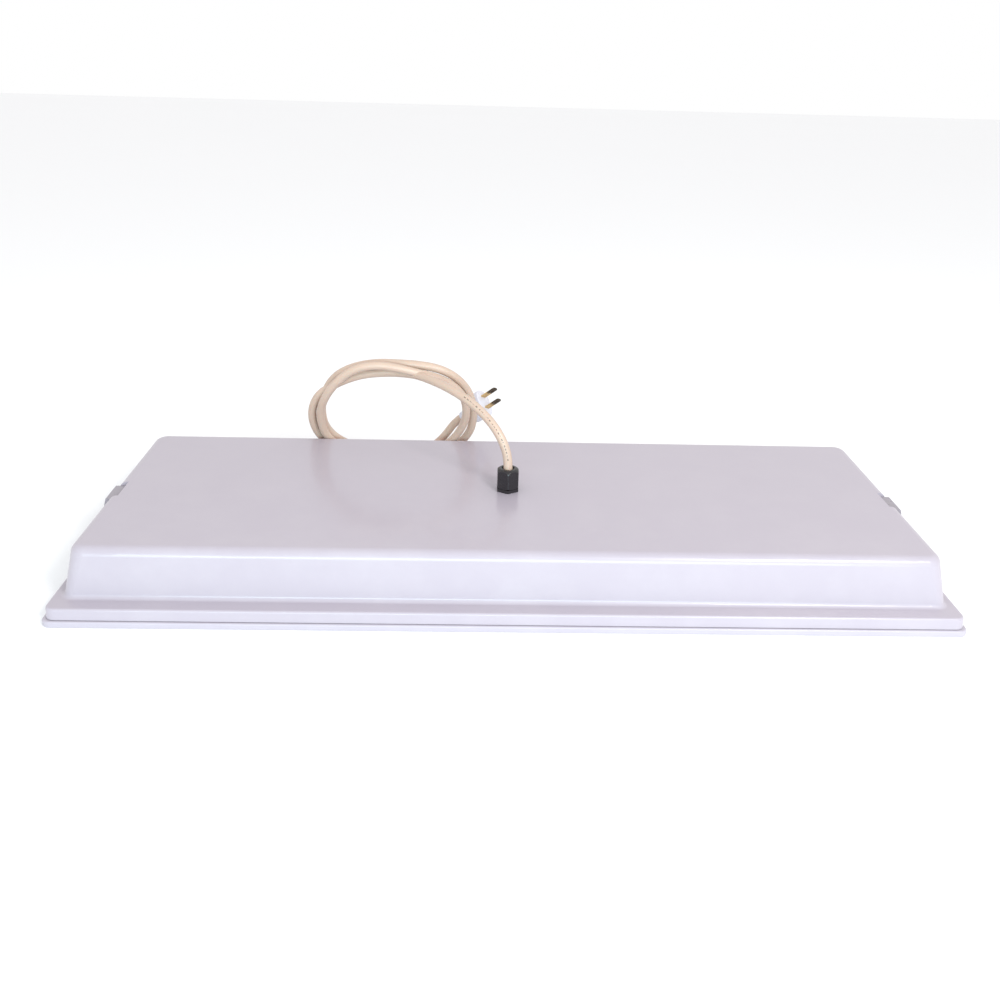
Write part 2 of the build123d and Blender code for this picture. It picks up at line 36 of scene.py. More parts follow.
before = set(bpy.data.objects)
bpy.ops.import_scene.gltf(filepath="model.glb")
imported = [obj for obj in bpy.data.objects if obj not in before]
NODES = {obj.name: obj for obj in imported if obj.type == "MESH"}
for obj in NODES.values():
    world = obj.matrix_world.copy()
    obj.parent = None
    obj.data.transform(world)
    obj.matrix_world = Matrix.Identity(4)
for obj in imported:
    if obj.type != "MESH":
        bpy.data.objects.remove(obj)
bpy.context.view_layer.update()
MM = 0.001


# ---------------------------------------------------------------- shader maths


class Value:
    """A number that changes over a surface; expressions on it add Math nodes."""

    def __init__(self, tree, socket):
        self.tree = tree
        self.socket = socket

    def _math(self, operation, a, b=None):
        inputs = {0: a} if b is None else {0: a, 1: b}
        return self.tree.node("ShaderNodeMath", {"operation": operation}, inputs)

    def __add__(self, other):
        return self._math("ADD", self, other)

    __radd__ = __add__

    def __sub__(self, other):
        return self._math("SUBTRACT", self, other)

    def __rsub__(self, other):
        return self._math("SUBTRACT", other, self)

    def __mul__(self, other):
        return self._math("MULTIPLY", self, other)

    __rmul__ = __mul__

    def __truediv__(self, other):
        return self._math("DIVIDE", self, other)

    def __gt__(self, other):
        return self._math("GREATER_THAN", self, other)

    def __lt__(self, other):
        return self._math("LESS_THAN", self, other)

    def abs(self):
        return self._math("ABSOLUTE", self)

    def sine(self):
        return self._math("SINE", self)

    def fract(self):
        return self._math("FRACT", self)

    def ramp(self, *stops):
        """A smooth curve through (position, value) stops."""
        socket = self.tree.node("ShaderNodeValToRGB", {"stops": stops}, {"Fac": self}).socket
        return Value(self.tree, socket)


class Finish:
    """One material, built node by node."""

    def __init__(self, name):
        self.material = bpy.data.materials.new(name)
        self.material.use_nodes = True
        self.nodes = self.material.node_tree.nodes
        self.links = self.material.node_tree.links
        self.shader = self.nodes["Principled BSDF"]
        self.column = 0

    def node(self, kind, settings=None, inputs=None, output=0):
        made = self.nodes.new(kind)
        self.column += 1
        made.location = (-200 * (1 + self.column % 9), -160 * (self.column // 9))
        for key, value in (settings or {}).items():
            if key == "stops":
                self._set_stops(made, value)
            else:
                setattr(made, key, value)
        for key, value in (inputs or {}).items():
            if isinstance(value, Value):
                self.links.new(value.socket, made.inputs[key])
            else:
                made.inputs[key].default_value = value
        return Value(self, made.outputs[output])

    def _set_stops(self, made, stops):
        elements = made.color_ramp.elements
        while len(elements) < len(stops):
            elements.new(0.5)
        for element, (position, value) in zip(elements, stops):
            element.position = position
            element.color = (value, value, value, 1.0)

    def place(self, turn=(0, 0, 0), scale=(1, 1, 1)):
        """Object coordinates, turned and scaled."""
        where = self.node("ShaderNodeTexCoord", output="Object")
        settings = {"vector_type": "POINT"}
        values = {"Vector": where, "Rotation": turn, "Scale": scale}
        return self.node("ShaderNodeMapping", settings, values)

    def noise(self, where, scale, detail=3.0, rough=0.55, distortion=0.0):
        values = {"Vector": where, "Scale": scale, "Detail": detail}
        values.update({"Roughness": rough, "Distortion": distortion})
        return self.node("ShaderNodeTexNoise", None, values)

    def cells(self, where, scale, feature="F1"):
        return self.node("ShaderNodeTexVoronoi", {"feature": feature}, {"Vector": where, "Scale": scale})

    def part(self, where, axis):
        return self.node("ShaderNodeSeparateXYZ", None, {"Vector": where}, output="XYZ".index(axis))

    def along(self, where, direction):
        inputs = {0: where, 1: direction}
        return self.node("ShaderNodeVectorMath", {"operation": "DOT_PRODUCT"}, inputs, output="Value")

    def mix(self, mask, first, second):
        """first where mask is 0, second where it is 1; each a colour or an earlier mix."""
        made = self.nodes.new("ShaderNodeMix")
        made.data_type = "RGBA"
        for key, value in ((0, mask), (6, first), (7, second)):
            if isinstance(value, Value):
                self.links.new(value.socket, made.inputs[key])
            elif key == 0:
                made.inputs[key].default_value = value
            else:
                made.inputs[key].default_value = (*value, 1.0)
        return Value(self, made.outputs[2])

    def bump(self, height, distance, strength=1.0):
        values = {"Height": height, "Distance": distance, "Strength": strength}
        return self.node("ShaderNodeBump", None, values)

    def done(self, **values):
        """Links or sets the shader's own sockets and gives the material."""
        names = {
            "colour": "Base Color",
            "rough": "Roughness",
            "metal": "Metallic",
            "coat": "Coat Weight",
            "coat_rough": "Coat Roughness",
            "normal": "Normal",
            "alpha": "Alpha",
            "ior": "IOR",
            "soft": "Subsurface Weight",
            "soft_scale": "Subsurface Scale",
            "clear": "Transmission Weight",
            "sheen": "Sheen Weight",
        }
        for key, value in values.items():
            socket = self.shader.inputs[names[key]]
            if isinstance(value, Value):
                self.links.new(value.socket, socket)
            elif key == "colour":
                socket.default_value = (*value, 1.0)
            else:
                socket.default_value = value
        return self.material


def lighter(colour, share):
    """The colour times a share; a share below one makes it darker."""
    return tuple(min(1.0, c * share) for c in colour[:3])


# ---------------------------------------------------------------- finishes


def moulded_shell(name, colour, rough, texture):
    """Glossy injection-moulded plastic with faint ripple, dust specks and rubbed patches."""
    f = Finish(name)
    where = f.place()
    clouds = f.noise(where, 5.0, 3.0)
    rubbed = f.noise(where, 26.0, 5.0, 0.65).ramp((0.42, 0.0), (0.75, 1.0))
    dust = f.cells(where, 95.0).ramp((0.0, 1.0), (0.035, 0.0))
    sparse = f.noise(where, 14.0, 1.0) > 0.60
    specks = dust * sparse
    drawn = f.place(scale=(3.0, 90.0, 30.0), turn=(0, 0, 0.35))
    streaks = f.noise(drawn, 6.0, 2.0).ramp((0.66, 0.0), (0.72, 1.0))
    base = f.mix(clouds.ramp((0.3, 0.0), (0.7, 1.0)) * 0.5, colour, lighter(colour, 0.965))
    base = f.mix(rubbed * 0.06, base, (0.78, 0.75, 0.74))
    base = f.mix(specks * 0.35, base, (0.45, 0.41, 0.38))
    ripple = f.noise(where, 60.0, 2.0) * 0.4 + f.noise(where, 900.0, 2.0) * texture
    height = ripple + streaks * 0.02
    shine = rubbed * 0.10 + streaks * 0.05 + clouds * 0.05 + rough
    relief = f.bump(height, 0.0004, 0.35)
    return f.done(colour=base, rough=shine, normal=relief, ior=1.5, coat=0.25, coat_rough=0.12)


def fine_grain(name, colour, rough, scale=1400.0, depth=0.00008):
    """Matt moulded plastic with a spark-eroded grain."""
    f = Finish(name)
    where = f.place()
    grain = f.noise(where, scale, 3.0, 0.6)
    wide = f.noise(where, 20.0, 4.0)
    base = f.mix(wide.ramp((0.35, 0.0), (0.7, 1.0)) * 0.35, colour, lighter(colour, 0.92))
    base = f.mix(grain.ramp((0.4, 0.0), (0.65, 1.0)) * 0.12, base, lighter(colour, 1.08))
    shine = grain * 0.12 + wide * 0.08 + rough
    return f.done(colour=base, rough=shine, normal=f.bump(grain, depth, 0.6))


def black_nylon(name):
    """Glossy black nylon with flow marks and faint pale scuffs."""
    f = Finish(name)
    where = f.place()
    flow = f.noise(f.place(scale=(1, 1, 0.25)), 160.0, 4.0, 0.6, 0.4)
    scuff = f.noise(where, 420.0, 5.0, 0.7).ramp((0.60, 0.0), (0.74, 1.0))
    ring = (f.part(where, "Z") * 5200.0).sine()
    base = f.mix(flow * 0.5, (0.012, 0.010, 0.012), (0.03, 0.026, 0.03))
    base = f.mix(scuff * 0.10, base, (0.16, 0.14, 0.15))
    height = flow + ring * 0.05 + scuff * 0.15
    shine = flow * 0.16 + scuff * 0.2 + 0.16
    return f.done(colour=base, rough=shine, normal=f.bump(height, 0.00007, 0.5))


def soft_rubber(name, colour):
    f = Finish(name)
    where = f.place()
    grain = f.noise(where, 700.0, 4.0, 0.65)
    bloom = f.noise(where, 60.0, 3.0).ramp((0.5, 0.0), (0.8, 1.0))
    base = f.mix(bloom * 0.25, colour, (0.2, 0.2, 0.2))
    return f.done(colour=base, rough=grain * 0.2 + 0.62, normal=f.bump(grain, 0.0002, 0.5))


def open_foam(name):
    """Pale closed gasket foam with open pores on its cut edge; each pore is painted darker towards its
    middle, painted shade inside the pore.
    """
    f = Finish(name)
    where = f.place()
    pores = f.cells(where, 1100.0).ramp((0.0, 0.0), (0.5, 1.0))
    # Painted shade: the pores are painted darker towards their middles.
    base = f.mix(pores, (0.28, 0.27, 0.29), (0.46, 0.44, 0.48))
    return f.done(colour=base, rough=0.88, normal=f.bump(pores, 0.0005, 0.8))


def plated_steel(name, direction=(0, 0, 1)):
    """Bright zinc plate with drawn lines and light tarnish."""
    f = Finish(name)
    where = f.place()
    spangle = f.cells(where, 420.0)
    lines = (f.along(where, direction) * 9000.0 + f.noise(where, 300.0) * 6.0).sine()
    tarnish = f.noise(where, 130.0, 5.0, 0.65).ramp((0.5, 0.0), (0.75, 1.0))
    base = f.mix(spangle * 0.5, (0.66, 0.67, 0.70), (0.52, 0.53, 0.56))
    base = f.mix(tarnish * 0.35, base, (0.38, 0.34, 0.28))
    shine = tarnish * 0.2 + spangle * 0.1 + 0.2
    return f.done(colour=base, rough=shine, metal=1.0, normal=f.bump(lines, 0.00002, 0.4))


def rolled_brass(name, axis=None, centre=None, reach=1.0):
    """Brass strip with rolling lines; the outer end of a blade is painted near-black, a painted dark
    reflection.
    """
    f = Finish(name)
    where = f.place()
    grain = f.noise(f.place(scale=(1, 1, 12)), 260.0, 4.0, 0.6)
    patina = f.noise(where, 220.0, 5.0, 0.7).ramp((0.42, 0.0), (0.72, 1.0))
    base = f.mix(grain * 0.4, (0.72, 0.50, 0.22), (0.52, 0.35, 0.15))
    base = f.mix(patina * 0.45, base, (0.25, 0.16, 0.08))
    rough = grain * 0.15 + patina * 0.2 + 0.2
    if axis is not None:
        start = Vector(axis).dot(Vector(centre))
        out = (f.along(where, axis) - start) / reach
        ragged = out + (f.noise(where, 380.0, 3.0) - 0.5) * 0.25
        # Painted dark reflection: the blade's outer end is painted near-black with a ragged edge, and
        # made a little rougher.
        painted_dark_tip = ragged.ramp((0.40, 0.0), (0.56, 1.0))
        base = f.mix(painted_dark_tip * 0.93, base, (0.035, 0.025, 0.022))
        rough = rough + painted_dark_tip * 0.12
    return f.done(colour=base, rough=rough, metal=0.9, normal=f.bump(grain, 0.00005, 0.4))


def wound_wire(name, pitch, colour, axis="Z"):
    """Close turns of enamelled wire laid side by side, with painted shade darkening the grooves between
    them.
    """
    f = Finish(name)
    where = f.place()
    wobble = f.noise(where, 90.0, 2.0) * 1.2
    turns = (f.part(where, axis) * (2 * math.pi / pitch) + wobble).sine().abs()
    tint = f.noise(where, 40.0, 3.0)
    base = f.mix(tint * 0.6, colour, lighter(colour, 0.65))
    # Painted shade: the grooves between the turns are painted much darker than the wire.
    base = f.mix(turns.ramp((0.0, 1.0), (0.35, 0.0)) * 0.8, base, lighter(colour, 0.18))
    shine = turns * 0.1 + 0.24
    return f.done(colour=base, rough=shine, metal=0.75, normal=f.bump(turns, 0.0002, 0.9), coat=0.5)


def amber_tape(name):
    f = Finish(name)
    where = f.place()
    wrinkle = f.noise(f.place(scale=(8, 1, 1)), 120.0, 4.0, 0.6)
    weave = (f.part(where, "X") * 3000.0).sine() * (f.part(where, "Y") * 3000.0).sine()
    base = f.mix(wrinkle, (0.72, 0.42, 0.06), (0.5, 0.26, 0.03))
    shine = wrinkle * 0.2 + 0.18
    relief = f.bump(wrinkle + weave * 0.05, 0.0002, 0.5)
    return f.done(colour=base, rough=shine, normal=relief, coat=0.6)


def masked_board(name):
    """Green solder mask over traces, with bare pads."""
    f = Finish(name)
    where = f.place()
    grid = f.place(scale=(150, 150, 1))
    run_x = (f.part(where, "Y") * 1400.0).sine() > 0.55
    run_y = (f.part(where, "X") * 1100.0).sine() > 0.62
    zone = f.noise(where, 32.0, 1.0) > 0.5
    traces = run_x * zone + run_y * (1 - zone)
    pads = f.cells(f.place(), 260.0).ramp((0.12, 1.0), (0.16, 0.0))
    keep = f.noise(where, 48.0, 1.0) > 0.54
    pads = pads * keep
    weave = (f.part(grid, "X") * 6.0).sine() * (f.part(grid, "Y") * 6.0).sine()
    base = f.mix(traces, (0.012, 0.10, 0.045), (0.02, 0.17, 0.075))
    base = f.mix(pads, base, (0.70, 0.70, 0.68))
    height = traces * 0.5 + pads + weave * 0.03
    shine = 0.30 - pads * 0.08
    relief = f.bump(height, 0.00006, 0.7)
    return f.done(colour=base, rough=shine, metal=pads * 0.9, normal=relief, coat=0.4)


def stacked_laminations(name):
    f = Finish(name)
    where = f.place()
    sheets = (f.part(where, "Y") * (2 * math.pi / 0.0007)).sine()
    rust = f.noise(where, 180.0, 5.0, 0.7).ramp((0.6, 0.0), (0.78, 1.0))
    base = f.mix(sheets.ramp((0.0, 0.0), (1.0, 1.0)), (0.07, 0.07, 0.075), (0.17, 0.17, 0.18))
    base = f.mix(rust * 0.5, base, (0.20, 0.09, 0.04))
    return f.done(colour=base, rough=rust * 0.25 + 0.38, metal=0.7, normal=f.bump(sheets, 0.0001, 0.6))


def capacitor_sleeve(name):
    """Shrink sleeve with a plain pale polarity band and no words."""
    f = Finish(name)
    where = f.place()
    gloss = f.noise(where, 200.0, 3.0)
    band = (f.part(where, "Y") * 290.0 + 0.6).sine() > 0.93
    base = f.mix(gloss * 0.3, (0.02, 0.03, 0.09), (0.04, 0.05, 0.14))
    base = f.mix(band * 0.8, base, (0.55, 0.57, 0.62))
    return f.done(colour=base, rough=gloss * 0.12 + 0.2, normal=f.bump(gloss, 0.0001, 0.4), coat=0.4)


def dipped_epoxy(name, colour):
    f = Finish(name)
    where = f.place()
    drip = f.noise(f.place(scale=(1, 1, 0.4)), 110.0, 4.0, 0.6, 0.6)
    base = f.mix(drip, colour, lighter(colour, 0.6))
    return f.done(colour=base, rough=drip * 0.1 + 0.18, normal=f.bump(drip, 0.0004, 0.5), coat=0.5)


def extruded_aluminium(name):
    f = Finish(name)
    where = f.place()
    draw = f.noise(f.place(scale=(1, 1, 60)), 90.0, 3.0)
    base = f.mix(draw, (0.60, 0.61, 0.63), (0.74, 0.75, 0.77))
    return f.done(colour=base, rough=draw * 0.15 + 0.3, metal=1.0, normal=f.bump(draw, 0.00005, 0.6))


def clear_glass(name):
    f = Finish(name)
    where = f.place()
    grime = f.noise(where, 300.0, 4.0).ramp((0.5, 0.0), (0.8, 1.0))
    return f.done(colour=(0.86, 0.92, 0.92), rough=grime * 0.12 + 0.03, alpha=0.4, ior=1.5)


# The printed row on the lead: plain dashes, between two distances along it, on the side that shows.
INK_FROM = 0.012
INK_TO = 0.105
INK_PITCH = 0.0042
INK_SIDE = 0.19
INK_HALF_WIDTH = 0.022


def lead_jacket(name, colour, length):
    """Cream PVC jacket: handling grime, fine extrusion lines and a worn row of plain ink dashes."""
    f = Finish(name)
    where = f.place()
    run = f.node("ShaderNodeTexCoord", output="UV")
    along = f.part(run, "X") * length
    around = f.part(run, "Y")
    grime = f.noise(where, 38.0, 5.0, 0.65).ramp((0.48, 0.0), (0.78, 1.0))
    smear = f.noise(where, 210.0, 4.0, 0.7).ramp((0.55, 0.0), (0.8, 1.0))
    lines = (around * 240.0).sine()
    base = f.mix(grime * 0.42, colour, lighter(colour, 0.80))
    base = f.mix(smear * 0.18, base, (0.58, 0.45, 0.34))
    dash = (along / INK_PITCH).fract() < 0.62
    gap = f.noise(where, 520.0, 2.0) > 0.47
    strip = (around - INK_SIDE).abs() < INK_HALF_WIDTH
    stretch = (along > INK_FROM) * (along < INK_TO)
    ink = dash * gap * strip * stretch
    base = f.mix(ink * 0.78, base, (0.10, 0.065, 0.05))
    height = lines * 0.10 + f.noise(where, 150.0, 3.0) * 0.8
    shine = grime * 0.1 + 0.36
    relief = f.bump(height, 0.0003, 0.35)
    soft = {"soft": 0.08, "soft_scale": 0.002}
    return f.done(colour=base, rough=shine, normal=relief, coat=0.12, coat_rough=0.3, **soft)


def plain_pvc(name, colour):
    f = Finish(name)
    where = f.place()
    lines = f.noise(where, 400.0, 3.0)
    base = f.mix(lines * 0.3, colour, lighter(colour, 0.75))
    return f.done(colour=base, rough=lines * 0.12 + 0.32, normal=f.bump(lines, 0.0001, 0.4))


def pale_floor(name):
    f = Finish(name)
    where = f.place()
    tone = f.noise(where, 1.5, 2.0)
    base = f.mix(tone * 0.2, (0.93, 0.93, 0.94), (0.90, 0.90, 0.91))
    return f.done(colour=base, rough=0.9)


# ---------------------------------------------------------------- helpers


def deselect():
    if bpy.context.mode != "OBJECT":
        bpy.ops.object.mode_set(mode="OBJECT")
    bpy.ops.object.select_all(action="DESELECT")


def give(piece, material):
    piece.data.materials.clear()
    piece.data.materials.append(material)


def dress(node, material):
    """A CAD node keeps its shape and gets a better finish."""
    give(NODES[node], material)


# ---------------------------------------------------------------- properties


class PadLeadSettings(bpy.types.PropertyGroup):
    """Sizes and colour of the mains lead"""

    diameter: bpy.props.FloatProperty(
        name="Lead diameter",
        description="Outside diameter of the mains lead's jacket",
        default=0.0082,
        unit="LENGTH",
    )
    half_width: bpy.props.FloatProperty(
        name="Coil half width",
        description="Middle line of the loose coil, measured along the pad",
        default=0.075,
        unit="LENGTH",
    )
    half_height: bpy.props.FloatProperty(
        name="Coil half height",
        description="Middle line of the loose coil, measured up its leaning plane",
        default=0.063,
        unit="LENGTH",
    )
    step: bpy.props.FloatProperty(
        name="Point step",
        description="Angle between two points of a turn",
        default=math.radians(15),
        subtype="ANGLE",
    )
    colour: bpy.props.FloatVectorProperty(
        name="Jacket colour",
        description="Colour of the lead's jacket",
        default=(0.56, 0.42, 0.335),
        subtype="COLOR",
        size=3,
    )


class PadShellSettings(bpy.types.PropertyGroup):
    """Colours and gloss of the mouldings"""

    colour: bpy.props.FloatVectorProperty(
        name="Shell colour",
        description="Colour of the moulded back shell",
        default=(0.43, 0.385, 0.44),
        subtype="COLOR",
        size=3,
    )
    face_colour: bpy.props.FloatVectorProperty(
        name="Face colour",
        description="Colour of the face panel",
        default=(0.45, 0.41, 0.47),
        subtype="COLOR",
        size=3,
    )
    gloss: bpy.props.FloatProperty(
        name="Roughness",
        description="Roughness of the clean moulded surface",
        default=0.26,
        min=0.0,
        max=1.0,
    )


class PadStageSettings(bpy.types.PropertyGroup):
    """Floor and light"""

    floor: bpy.props.FloatProperty(
        name="Floor size",
        description="Length of one side of the pale floor",
        default=14.0,
        unit="LENGTH",
    )
    key_power: bpy.props.FloatProperty(
        name="Key light",
        description="Power of the main soft light",
        default=12.0,
        unit="POWER",
    )
    sky: bpy.props.FloatProperty(
        name="Sky",
        description="Brightness of the plain surround",
        default=1.0,
    )


# ---------------------------------------------------------------- stage

KEY_PLACE = (0.7, -1.1, 1.1)
KEY_AIM = (0, -0.05, 0.05)
KEY_SIZE = (0.4, 0.3)
KEY_TINT = (1.0, 0.985, 0.97)
FRONT_PLACE = (0.0, -1.8, 0.42)
FRONT_AIM = (0, 0, 0.03)
FRONT_SIZE = (1.8, 0.4)
FRONT_TINT = (0.68, 0.93, 1.0)
FRONT_SHARE = 1.85

CAMERA_PLACE = (-0.0351, -0.8309, 0.4271)
CAMERA_RIGHT = Vector((0.9994, -0.0224, 0.0262))
CAMERA_UP = Vector((-0.0145, 0.4169, 0.9089))
CAMERA_BACK = Vector((-0.0313, -0.9087, 0.4163))
CAMERA_LENS = 36.0


def area_light(name, power, size, place, target, colour):
    bpy.ops.object.light_add(type="AREA", location=place)
    light = bpy.context.object
    light.name = name
    light.data.energy = power
    light.data.shape = "RECTANGLE"
    light.data.size = size[0]
    light.data.size_y = size[1]
    light.data.color = colour
    aim = (Vector(target) - Vector(place)).to_track_quat("-Z", "Y")
    light.rotation_euler = aim.to_euler()
    return light


class PAD_OT_stage(bpy.types.Operator):
    """Adds the pale floor, the soft lights and the camera"""

    bl_idname = "pad.stage"
    bl_label = "Stage"

    def execute(self, context):
        settings = context.scene.pad_stage
        deselect()
        bpy.ops.mesh.primitive_plane_add(size=settings.floor, location=(0, 0, 0))
        floor = context.object
        floor.name = "floor"
        give(floor, pale_floor("pale_floor"))
        world = bpy.data.worlds.new("surround")
        world.use_nodes = True
        background = world.node_tree.nodes["Background"]
        background.inputs["Color"].default_value = (1.0, 1.0, 1.0, 1.0)
        background.inputs["Strength"].default_value = settings.sky
        context.scene.world = world
        context.scene.view_settings.view_transform = "Standard"
        area_light("key", settings.key_power, KEY_SIZE, KEY_PLACE, KEY_AIM, KEY_TINT)
        front_power = settings.key_power * FRONT_SHARE
        area_light("front", front_power, FRONT_SIZE, FRONT_PLACE, FRONT_AIM, FRONT_TINT)
        bpy.ops.object.camera_add(location=CAMERA_PLACE)
        camera = context.object
        camera.name = "view"
        turn = Matrix((CAMERA_RIGHT, CAMERA_UP, CAMERA_BACK)).transposed()
        camera.rotation_euler = turn.to_euler()
        camera.data.sensor_width = 36.0
        camera.data.lens = CAMERA_LENS
        camera.data.clip_start = 0.01
        context.scene.camera = camera
        return {"FINISHED"}


# ---------------------------------------------------------------- lead

# The coil leans on the pad's rear edge. Its foot, its lean and the middle of its oval, in the row frame.
COIL_FOOT = Vector((-0.1125, 0.1438, 0.0234))
COIL_LEAN = math.radians(24)
COIL_UP = 0.0665

# Stretch from the gland to the coil, and from the coil to the plug, in millimetres.
EXIT_POINTS = (
    (0, 0, 72.0), (0, 0, 84.3), (-2.7, 1.7, 96.2), (-7.7, 5.3, 106.8), (-15.4, 11.5, 116.7),
    (-24.9, 20.0, 124.6), (-35.6, 30.6, 130.2), (-46.8, 42.8, 133.7), (-57.6, 55.9, 135.3),
    (-68.4, 69.0, 135.8), (-77.9, 80.6, 135.7), (-88.5, 92.0, 135.3),
)
TAIL_POINTS = (
    (-73.0, 147.0, 40.5), (-65.5, 149.8, 46.0), (-59.5, 150.9, 52.8), (-54.5, 151.2, 60.0),
    (-49.4, 150.2, 66.8), (-43.0, 147.9, 72.8),
)

# How each turn lies: angle round the oval in degrees, then its distances outwards and back from the
# coil's plane in millimetres.
COIL_LAY = (
    (84, -8.5, 3.5), (96, -9.5, 4.0), (109, -8.3, 4.5), (123, -7.8, 4.5), (137, -6.0, 5.0),
    (148, -3.0, 5.0), (160, 2.0, 4.5), (173, 5.0, 4.0), (193, 8.5, 3.0), (212, 11.5, 4.0),
    (240, 9.5, 5.0), (270, 10.4, 6.0), (300, 8.5, 6.0), (322, 9.5, 6.0), (337, 9.2, 6.0),
    (351, 6.7, 6.0), (365, 5.9, 6.0), (378, 7.2, 6.0), (391, 9.3, 6.0), (405, 9.4, 6.0),
    (414, 8.0, 6.0), (424, 4.5, 6.5), (433, 1.5, 7.0), (444, -0.5, 7.5), (469, 0.0, 8.5),
    (485, -1.0, 11.0), (500, -2.0, 12.5), (515, -4.0, 10.5), (533, -4.0, 6.8), (555, -2.0, 6.5),
    (572, 3.0, 8.0), (600, 0.0, 8.0), (615, 1.0, 5.0), (630, 1.5, 1.5), (645, 0.5, 0.2),
    (660, -1.5, 0.0), (694, -3.9, 0.0), (707, -3.4, -1.0), (721, -1.6, -2.0), (732, 0.7, -2.0),
    (744, 4.0, -2.0), (756, 5.1, -2.0), (766, 4.7, -2.0), (777, 2.8, -2.5), (788, 0.8, -3.0),
    (799, 1.0, -3.0), (804, 3.0, -3.0), (814, 5.8, -2.5), (824, 6.8, -2.0), (835, 5.8, -2.0),
    (846, 2.5, -2.5), (859, -1.1, -3.5), (875, -3.4, -3.5), (891, -3.5, -2.5), (904, -2.9, -1.5),
    (919, -0.2, -0.5), (928, 2.9, 0.0), (945, 3.0, 0.0), (960, 0.0, 0.0), (975, -5.0, 1.5),
    (990, -6.5, 4.0), (1005, -6.0, 6.5),
)


def lay_at(angle):
    """Outward and backward distance of the strand at an angle, eased between the two nearest lays."""
    for first, second in zip(COIL_LAY, COIL_LAY[1:]):
        if angle <= second[0]:
            share = (angle - first[0]) / (second[0] - first[0])
            return tuple(a + (b - a) * share for a, b in zip(first[1:], second[1:]))
    return COIL_LAY[-1][1:]


def coil_point(angle, outward, back, half_width, half_height):
    turn = math.radians(angle)
    flat = Vector((half_width * math.cos(turn), half_height * math.sin(turn)))
    normal = Vector((half_height * math.cos(turn), half_width * math.sin(turn))).normalized()
    flat += normal * outward * MM
    up = Vector((0, -math.sin(COIL_LEAN), math.cos(COIL_LEAN)))
    behind = Vector((0, math.cos(COIL_LEAN), math.sin(COIL_LEAN)))
    return COIL_FOOT + Vector((flat.x, 0, 0)) + up * (COIL_UP + flat.y) + behind * back * MM


def lead_points(settings):
    points = [Vector(p) * MM for p in EXIT_POINTS]
    angle = COIL_LAY[0][0]
    while angle <= COIL_LAY[-1][0]:
        outward, back = lay_at(angle)
        points.append(coil_point(angle, outward, back, settings.half_width, settings.half_height))
        angle += math.degrees(settings.step)
    return points + [Vector(p) * MM for p in TAIL_POINTS]


def spline_length(points):
    return sum((b - a).length for a, b in zip(points, points[1:]))


def curve_line(piece):
    """The middle line that Blender draws for a curve."""
    depth = piece.data.bevel_depth
    piece.data.bevel_depth = 0.0
    bpy.context.view_layer.update()
    made = bpy.data.meshes.new_from_object(piece.evaluated_get(bpy.context.evaluated_depsgraph_get()))
    line = [v.co.copy() for v in made.vertices]
    bpy.data.meshes.remove(made)
    piece.data.bevel_depth = depth
    bpy.context.view_layer.update()
    return line


class PAD_OT_lead(bpy.types.Operator):
    """Lays the mains lead from the gland through its loose coil to the plug"""

    bl_idname = "pad.lead"
    bl_label = "Mains lead"

    def execute(self, context):
        settings = context.scene.pad_lead
        deselect()
        points = lead_points(settings)
        curve = bpy.data.curves.new("mains_lead", "CURVE")
        curve.dimensions = "3D"
        curve.resolution_u = 6
        curve.bevel_depth = settings.diameter / 2
        curve.bevel_resolution = 5
        curve.use_fill_caps = True
        spline = curve.splines.new("NURBS")
        spline.points.add(len(points) - 1)
        for point, place in zip(spline.points, points):
            point.co = (*place, 1.0)
        spline.order_u = 3
        spline.use_endpoint_u = True
        lead = bpy.data.objects.new("mains_lead", curve)
        context.collection.objects.link(lead)
        length = spline_length(curve_line(lead))
        jacket = lead_jacket("cream_jacket", settings.colour, length)
        curve.materials.append(jacket)
        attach(lead, "pad")
        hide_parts("lead_exit", "lead_coil", "lead_tail")
        dress("lead_inner", plain_pvc("inner_jacket", settings.colour))
        return {"FINISHED"}


# ---------------------------------------------------------------- shell, face and latches


class PAD_OT_shell(bpy.types.Operator):
    """Finishes the back shell, the face panel, the gasket and the two latches"""

    bl_idname = "pad.shell"
    bl_label = "Shell and latches"

    def execute(self, context):
        settings = context.scene.pad_shell
        shell = moulded_shell("shell_gloss", settings.colour, settings.gloss, 0.05)
        dress("back_shell", shell)
        satin = moulded_shell("face_satin", settings.face_colour, settings.gloss + 0.12, 0.5)
        dress("face_panel", satin)
        dress("rim_gasket", open_foam("gasket_foam"))
        # Painted shade: the latches get the shell colour darkened to two thirds, standing for the shade
        # on them.
        shaded_latch_colour = lighter(settings.colour, 0.66)
        latch = moulded_shell("latch_gloss", shaded_latch_colour, settings.gloss - 0.04, 0.08)
        for side in ("right", "left"):
            dress("latch_" + side, latch)
            dress("latch_pin_" + side, plated_steel("pin_steel", (0, 1, 0)))
            dress("latch_spring_" + side, plated_steel("spring_steel"))
        return {"FINISHED"}


# ---------------------------------------------------------------- gland


class PAD_OT_gland(bpy.types.Operator):
    """Finishes the cable gland and its hidden pieces"""

    bl_idname = "pad.gland"
    bl_label = "Cable gland"

    def execute(self, context):
        nylon = black_nylon("gland_nylon")
        for node in ("gland_dome_nut", "gland_body", "gland_claw", "gland_locknut"):
            dress(node, nylon)
        rubber = soft_rubber("seal_rubber", (0.02, 0.02, 0.022))
        dress("gland_seal", rubber)
        dress("gland_washer", rubber)
        dress("gland_slip_ring", fine_grain("natural_nylon", (0.70, 0.68, 0.60), 0.4))
        dress("lead_clamp", fine_grain("clamp_nylon", (0.70, 0.68, 0.60), 0.4))
        return {"FINISHED"}


# ---------------------------------------------------------------- plug

PLUG_FACE = Vector((-0.020, 0.1381, 0.0927))
PLUG_OUT = Vector((0.7203, -0.3057, 0.6238)).normalized()
BLADE_LENGTH = 0.0175


